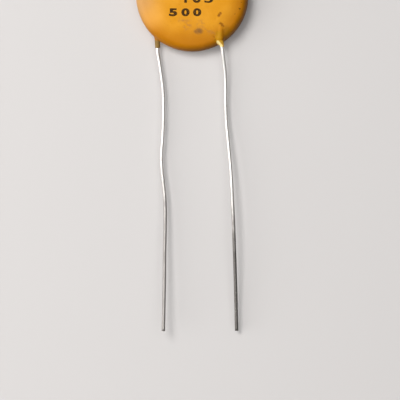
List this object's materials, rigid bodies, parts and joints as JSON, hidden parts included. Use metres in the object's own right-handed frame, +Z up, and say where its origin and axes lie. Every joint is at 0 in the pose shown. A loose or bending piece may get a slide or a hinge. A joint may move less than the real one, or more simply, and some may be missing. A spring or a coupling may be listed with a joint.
{
  "type": "ceramic disc capacitor",
  "caption": "Radial-lead ceramic disc capacitor: a silvered ceramic disc between two soldered tinned-wire leads, dipped in ochre resin.",
  "frame": {"origin": "on the rest plane, under the centre of the coated disc", "axes": "+Z up through the disc's thickness, -Y along the leads away from the disc, +X to the right seen from the printed face with the leads pointing down"},
  "size_m": [0.0168, 0.0584, 0.0036],
  "materials": {
    "coat": "satin",
    "tinned_wire": "satin",
    "ceramic": "matte",
    "silver": "satin",
    "solder": "satin"
  },
  "bodies": {
    "root": {"ceramic_disc": "ceramic", "front_electrode": "silver", "back_electrode": "silver", "front_solder": "solder", "back_solder": "solder", "front_lead": "tinned_wire", "back_lead": "tinned_wire", "coating": "coat"}
  },
  "joints": []
}
